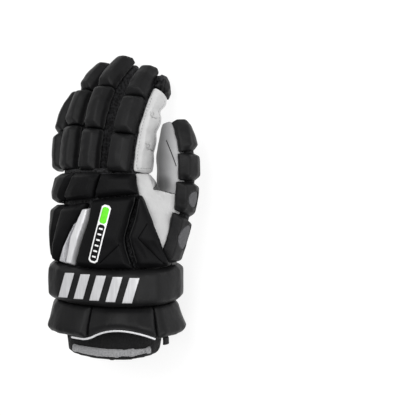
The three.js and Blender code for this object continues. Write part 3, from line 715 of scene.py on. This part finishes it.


# In m on the view plane: where along the glove the black tape at the strap ends, where across it the painted
# shade on the thumb's suede is darkest and where it ends, and how far round its hollow the painted shade
# reaches
TAPE_END = -0.056
ACROSS_PAINTED_SHADE = (0.018, 0.040)
HOLLOW_PAINTED_SHADE = (0.003, 0.014)


def painted_shading(tree, places, along):
    """The share of its colour that the thumb's suede keeps under painted shade: less towards the finger and
    in its hollow.
    """
    across = add(tree, "ShaderNodeVectorMath", {0: places, 1: SIDE}, operation="DOT_PRODUCT").outputs["Value"]
    # Painted shade: darker towards one side of the thumb, as on a rounded face turned from the light.
    bent = calculate(tree, "POWER", between(tree, across, *ACROSS_PAINTED_SHADE), 1.5)
    # Painted shade round the hollow under the thumb.
    spot = add(tree, "ShaderNodeCombineXYZ", {"X": across, "Y": along}).outputs[0]
    hollow = (*(c * MM for c in THUMB_HOLLOW), 0)
    away = add(tree, "ShaderNodeVectorMath", {0: spot, 1: hollow}, operation="DISTANCE").outputs["Value"]
    return calculate(
        tree, "MULTIPLY", calculate(tree, "MULTIPLY_ADD", bent, 1.1, 0.12),
        between(tree, away, *HOLLOW_PAINTED_SHADE, 0.35, 1, interpolation_type="SMOOTHSTEP"),
    )


def suede(name, colour, shaded=False):
    """Split leather, buffed to a short nap: matt, with light and dark strokes. Where it runs into the
    strap it is bound in black tape."""
    made, tree, places = material_on(name)
    nap = clouds(tree, places, sizes().suede_nap, 2)
    strokes = clouds(tree, places, 14 * MM, 4, 0.6)
    mixed = calculate(tree, "MULTIPLY_ADD", nap, 0.3, calculate(tree, "MULTIPLY", strokes, 0.7))
    napped = shades(tree, mixed, colour, 0.86, 1.06)
    along = add(tree, "ShaderNodeSeparateXYZ", {0: places}).outputs["Y"]
    # Painted shade over the thumb's suede: darker to one side and round its hollow.
    if shaded:
        scaled = {0: napped, "Scale": painted_shading(tree, places, along)}
        napped = add(tree, "ShaderNodeVectorMath", scaled, operation="SCALE").outputs[0]
    free = calculate(tree, "GREATER_THAN", along, TAPE_END)
    taped = {0: free, 6: (*tint(colours().mesh, 0.9), 1), 7: napped}
    return surfaced(made, {
        "Base Color": add(tree, "ShaderNodeMix", taped, data_type="RGBA").outputs[2],
        "Normal": relief(tree, strokes, 0.4, 1.2 * MM, relief(tree, nap, 0.4, 0.3 * MM)),
        "Roughness": 0.95,
        "Sheen Weight": 0.3,
        "Sheen Roughness": 0.6,
    })


def foil(name, colour, metallic, roughness):
    """Foil or ink pressed on leather, with faint streaks from the roller."""
    made, tree, places = material_on(name)
    stretched = add(tree, "ShaderNodeMapping", {"Vector": places, "Scale": (1, 0.12, 1)}).outputs[0]
    streaks = clouds(tree, stretched, 2.2 * MM, 3)
    return surfaced(made, {
        "Base Color": shades(tree, streaks, colour, 0.88, 1.05),
        "Normal": relief(tree, streaks, 0.2, 0.2 * MM),
        "Metallic": metallic,
        "Roughness": roughness,
    })


def speckled_knit(name, colour, pitch):
    """Open knit over foam: pale yarn around small dark holes."""
    made, tree, places = material_on(name)
    holes = cells(tree, places, pitch, 0.4)
    return surfaced(made, {
        "Base Color": shades(tree, holes, colour, 0.45, 1.3, 0.15, 0.45),
        "Normal": relief(tree, holes, 0.7, 0.5 * MM),
        "Roughness": 0.75,
        "Specular IOR Level": 0.3,
    })


def brushed_fleece():
    """Brushed loop pile, tangled and matt."""
    made, tree, places = material_on("nylon_loop_brushed")
    pile = clouds(tree, places, 1.6 * MM, 5, 0.7)
    return surfaced(made, {
        "Base Color": shades(tree, pile, colours().fleece, 0.62, 1.25, 0.35, 0.65),
        "Normal": relief(tree, pile, 1, 0.9 * MM),
        "Roughness": 1,
        "Sheen Weight": 0.4,
    })


def plain_ink(name, colour, roughness, shine=0.5):
    """Screen print or thread: one colour with a slight unevenness."""
    made, tree, places = material_on(name)
    return surfaced(made, {
        "Base Color": shades(tree, clouds(tree, places, 3 * MM, 2), colour, 0.92, 1.04),
        "Roughness": roughness,
        "Specular IOR Level": shine,
    })


def lit_paper():
    """White paper lit from below as well, so that the glove's shadow on it stays faint."""
    return surfaced(material_on("paper_lit_from_below")[0], {
        "Base Color": (*colours().floor, 1),
        "Roughness": 0.9,
        "Emission Color": (1, 1, 1, 1),
        "Emission Strength": 0.8,
    })


# How each finish's material is made, when it is first asked for
MAKERS = {
    "leather": lambda: coated_leather("coated_leather_embossed", 0.2),
    "matt_leather": lambda: coated_leather("coated_leather_matt", 0.07),
    "mesh": lambda: mesh_cloth("polyester_mesh_knitted", sizes().mesh_pitch, 0.25, 4.5),
    "lining": lambda: mesh_cloth("polyester_tricot_knitted", sizes().mesh_pitch / 2, 0.7, 1.6),
    "suede": lambda: suede("suede_napped", colours().suede),
    # The thumb's suede with painted shade: a darker colour, and darker still to one side and round its
    # hollow.
    "thumb_suede_in_shade": lambda: suede("suede_napped_painted_shade", colours().thumb_suede_in_shade, shaded=True),
    "insert": lambda: speckled_knit("polyester_knit_speckled", colours().insert, 1.3 * MM),
    "vent": lambda: speckled_knit("polyester_mesh_silver", colours().vent, 1.6 * MM),
    "fleece": brushed_fleece,
    "silver": lambda: foil("polyurethane_foil_silver", colours().silver, 0.25, 0.38),
    "motif": lambda: foil("transfer_foil_silver", colours().motif, 0.15, 0.42),
    "light_print": lambda: plain_ink("rubber_print_light", colours().print_light, 0.5),
    "accent_print": lambda: plain_ink("rubber_print_accent", colours().print_accent, 0.5),
    "dark_print": lambda: plain_ink("rubber_print_dark", tint(colours().leather, 0.8), 0.5, 0.1),
    "light_thread": lambda: plain_ink("polyester_thread_light", tint(colours().suede, 0.62), 0.6),
    "dark_thread": lambda: plain_ink("polyester_thread_dark", tint(colours().leather, 0.3), 0.8, 0.02),
    "floor": lit_paper,
}
made_finishes = {}


def finish_of(name):
    if name not in made_finishes:
        made_finishes[name] = MAKERS[name]()
    return made_finishes[name]


def dress(piece, finish, *nodes, fill=None):
    """Gives a piece its material and its place on the glove, and hides the nodes that it stands for."""
    piece.data.materials.clear()
    piece.data.materials.append(finish_of(finish))
    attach(piece, "root")
    if nodes:
        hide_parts(*nodes)


# The glove's pieces


def add_seam(piece, corners, kind, name):
    """Presses a seam into a piece and lays its dark thread in it."""
    press(piece, corners, kind)
    dress(cord_along(trace(piece, corners), name, sizes().thread), "dark_thread")


def add_welt(piece, welt, name, thickness):
    """Lays a welt in the gap in front of a piece."""
    points = [point + AHEAD * (welt.ahead * MM) for point in trace(piece, welt.line, lift=-welt.sunk)]
    dress(cord_along(points, name, thickness), "mesh")


def add_side_panel():
    """The index finger's side panel, with its scallops, puckers and rows of stitches."""
    panel = cover("index_side_panel")
    for along in SCALLOPS:
        pinch(panel, along, SCALLOP_WIDTH, SCALLOP_DEPTH)
    creases = []
    for across, along in PUCKER_PLACES:
        for pucker in PUCKER_CREASES:
            line = press(panel, [(across + x, along + y) for x, y in pucker], "pucker")
            creases.append(cord_along(line, f"crease_{len(creases)}", CREASE_THREAD * MM))
    dress(joined(creases, "index_panel_creases"), "light_thread")
    rows = []
    for edge in SEWN_EDGES:
        press(panel, edge, "stitch_line")
        rows.append(stitches_along(trace(panel, edge, lift=STITCH_LIFT), f"stitch_row_{len(rows)}"))
    rows.append(stitches_along(rim(panel, *FREE_EDGE, 1, FREE_EDGE_INSET), f"stitch_row_{len(rows)}"))
    dress(joined(rows, "index_panel_stitches"), "light_thread")
    dress(panel, "suede", "index_side_panel", fill=0.4)


def add_tip_cap():
    """The index fingertip's ribbed cap, and the welt in front of it."""
    cap = cover("index_tip_cap")
    for rib in CAP_RIBS:
        press(cap, rib, "cap_rib")
    add_welt(cap, TIP_WELT, "index_tip_welt", TIP_WELT_THICKNESS * MM)
    dress(cap, "leather", "index_tip_cap", fill=0.5)


class GLOVE_OT_finger_rolls(bpy.types.Operator):
    """Foam rolls on the backs of the fingers"""

    bl_idname = "glove.finger_rolls"
    bl_label = "Finger Rolls"

    def execute(self, context):
        nodes = [f"{finger}_roll_{i + 1}" for finger, count in FINGER_ROLLS.items() for i in range(count)]
        for number, node in enumerate(nodes):
            dress(cover(node, "finger_roll", number), "leather", node, fill=0.8)
        return {"FINISHED"}


class GLOVE_OT_hand_pads(bpy.types.Operator):
    """Foam pads on the back of the hand and over the knuckles"""

    bl_idname = "glove.hand_pads"
    bl_label = "Hand Pads"

    def execute(self, context):
        for number, node in enumerate(HAND_PADS):
            pad = cover(node, "hand_pad", number)
            if node in PLATE_TRIM:
                trim = PLATE_TRIM[node]
                add_seam(pad, trim.seam, "plate_seam", node + "_seam")
                edge = rim(pad, trim.start, trim.end, trim.side, PIPING_INSET)
                dress(cord_along(edge, node + "_piping", sizes().piping), "leather")
            dress(pad, "matt_leather", node, fill=0.8)
        for node, finish in (("vent_ridge", "silver"), ("vent_bed", "vent")):
            dress(cover(node, "vent"), finish, node)
        return {"FINISHED"}


class GLOVE_OT_thumb_rolls(bpy.types.Operator):
    """Foam rolls on the back of the thumb, with their knitted inserts"""

    bl_idname = "glove.thumb_rolls"
    bl_label = "Thumb Rolls"

    def execute(self, context):
        core = []
        for number, node in enumerate(THUMB_ROLLS):
            roll = soften(node, "thumb_roll")
            core.append(Vector(vertices_of(roll).mean(axis=0)))
            settle(roll, "thumb_roll", number)
            dress(roll, "leather", node, fill=0.8)
        dress(cord_along(core, "thumb_backing", sizes().backing), "mesh")
        for node in ("thumb_insert_root", "thumb_insert_base"):
            dress(cover(node, "thumb_insert"), "insert", node)
        return {"FINISHED"}


class GLOVE_OT_finger_stalls(bpy.types.Operator):
    """Mesh backs and suede palms of the fingers, and the index finger's side panel and cap"""

    bl_idname = "glove.finger_stalls"
    bl_label = "Finger Stalls"

    def execute(self, context):
        for number, finger in enumerate(FINGER_ROLLS):
            for half, finish in (("stall", "mesh"), ("palm", "suede")):
                node = f"{finger}_{half}"
                dress(cover(node, "finger_wall", number), finish, node)
        add_side_panel()
        add_tip_cap()
        return {"FINISHED"}


class GLOVE_OT_hand_walls(bpy.types.Operator):
    """Mesh back, suede palm and suede thumb"""

    bl_idname = "glove.hand_walls"
    bl_label = "Hand Walls"

    def execute(self, context):
        back = cover("back_lining")
        add_welt(back, KNUCKLE_WELT, "knuckle_welt", sizes().welt)
        dress(back, "mesh", "back_lining")
        dress(cover("palm_leather"), "suede", "palm_leather")
        thumb = cover("thumb_leather")
        dent(thumb, THUMB_HOLLOW, THUMB_HOLLOW_WIDTH, THUMB_HOLLOW_DEPTH)
        add_seam(thumb, THUMB_SEAM, "thumb_seam", "thumb_seam")
        dress(thumb, "thumb_suede_in_shade", "thumb_leather")
        return {"FINISHED"}


class GLOVE_OT_cuff(bpy.types.Operator):
    """Strap roll, flared rolls, piping, wrist liner, patch and pull tab"""

    bl_idname = "glove.cuff"
    bl_label = "Cuff"

    def execute(self, context):
        dress(cover("strap_roll"), "leather", "strap_roll", fill=0.8)
        for number, node in enumerate(CUFF_ROLLS):
            dress(cover(node, "cuff_roll", number), "leather", node, fill=0.8)
        dress(cover("wrist_liner"), "lining", "wrist_liner", fill=0.6)
        dress(cover("liner_patch"), "fleece", "liner_patch")
        dress(cover("cuff_piping"), "silver", "cuff_piping")
        dress(cover("pull_tab"), "leather", "pull_tab")
        return {"FINISHED"}


def on_label(along):
    """The place of the view plane that is this far up the label from its centre."""
    lean = math.radians(LABEL_LEAN)
    return (LABEL_CENTRE[0] + along * math.sin(lean), LABEL_CENTRE[1] + along * math.cos(lean))


class GLOVE_OT_prints(bpy.types.Operator):
    """Bars on the strap and the slanted label on the main plate"""

    bl_idname = "glove.prints"
    bl_label = "Prints"

    def execute(self, context):
        strap = bpy.data.objects["strap_roll_cover"]
        bars = []
        for number in range(BARS):
            centre = tuple(first + step * number for first, step in zip(FIRST_BAR, NEXT_BAR))
            cuts = slanted(BAR_LEAN)
            bars.append(print_on(strap, f"bar_{number}", centre, BAR_SIZE, cuts, thickness=BAR_THICKNESS))
        dress(joined(bars, "strap_motif"), "motif")
        plate = bpy.data.objects["main_plate_cover"]
        for name, along, size, finish, lift in LABEL_LAYERS:
            cuts = chamfered(size[0] / size[1] / 2)
            dress(print_on(plate, name, on_label(along), size, cuts, -LABEL_LEAN, lift), finish)
        dashes = []
        for number in range(DASHES):
            dashes.append(print_on(
                plate, f"dash_{number}", on_label(FIRST_DASH + NEXT_DASH * number), DASH_SIZE,
                turn=-LABEL_LEAN, lift=DASH_LIFT, thickness=DASH_THICKNESS, spacing=DASH_SPACING,
            ))
        dress(joined(dashes, "label_dashes"), "light_print")
        return {"FINISHED"}


class GLOVE_OT_stage(bpy.types.Operator):
    """Floor, lights and camera"""

    bl_idname = "glove.stage"
    bl_label = "Stage"

    def execute(self, context):
        scene = context.scene
        bpy.ops.mesh.primitive_plane_add(size=FLOOR_SIZE)
        floor = context.view_layer.objects.active
        floor.name = "floor"
        floor.data.materials.append(finish_of("floor"))
        world = bpy.data.worlds.new("studio")
        world.use_nodes = True
        world.node_tree.nodes["Background"].inputs["Color"].default_value = (1, 1, 1, 1)
        world.node_tree.nodes["Background"].inputs["Strength"].default_value = WORLD_STRENGTH
        scene.world = world
        for name, place, size, power in LIGHTS:
            data = bpy.data.lights.new(name, "AREA")
            data.size = size
            data.energy = power
            light = bpy.data.objects.new(name, data)
            light.location = place
            light.rotation_euler = Vector(place).to_track_quat("Z", "Y").to_euler()
            scene.collection.objects.link(light)
        data = bpy.data.cameras.new("camera")
        data.sensor_width = SENSOR_WIDTH
        data.lens = FOCAL_LENGTH / PHOTO_WIDTH * SENSOR_WIDTH
        camera = bpy.data.objects.new("camera", data)
        target = Vector(CAMERA_AIM) * MM
        camera.matrix_world = Matrix.Translation(target + LOOK * CAMERA_DISTANCE) @ VIEW_TURN
        scene.collection.objects.link(camera)
        scene.camera = camera
        scene.view_settings.view_transform = "Standard"
        return {"FINISHED"}


class GLOVE_PT_panel(bpy.types.Panel):
    """The glove's sizes, colours and pieces"""

    bl_label = "Lacrosse Glove"
    bl_idname = "GLOVE_PT_panel"
    bl_space_type = "VIEW_3D"
    bl_region_type = "UI"
    bl_category = "Glove"

    def draw(self, context):
        for group in (context.scene.glove_sizes, context.scene.glove_colours):
            box = self.layout.box()
            for key in group.__annotations__:
                box.prop(group, key)
        for step in STEPS:
            self.layout.operator(step.bl_idname)


STEPS = (
    GLOVE_OT_stage,
    GLOVE_OT_finger_rolls,
    GLOVE_OT_hand_pads,
    GLOVE_OT_thumb_rolls,
    GLOVE_OT_finger_stalls,
    GLOVE_OT_hand_walls,
    GLOVE_OT_cuff,
    GLOVE_OT_prints,
)
CLASSES = (GloveSizes, GloveColours, *STEPS, GLOVE_PT_panel)


def register():
    for made in CLASSES:
        bpy.utils.register_class(made)
    bpy.types.Scene.glove_sizes = PointerProperty(type=GloveSizes)
    bpy.types.Scene.glove_colours = PointerProperty(type=GloveColours)


def unregister():
    del bpy.types.Scene.glove_sizes
    del bpy.types.Scene.glove_colours
    for made in reversed(CLASSES):
        bpy.utils.unregister_class(made)


def main():
    register()
    bpy.ops.glove.stage()
    bpy.ops.glove.finger_rolls()
    bpy.ops.glove.hand_pads()
    bpy.ops.glove.thumb_rolls()
    bpy.ops.glove.finger_stalls()
    bpy.ops.glove.hand_walls()
    bpy.ops.glove.cuff()
    bpy.ops.glove.prints()


if __name__ == "__main__":
    main()
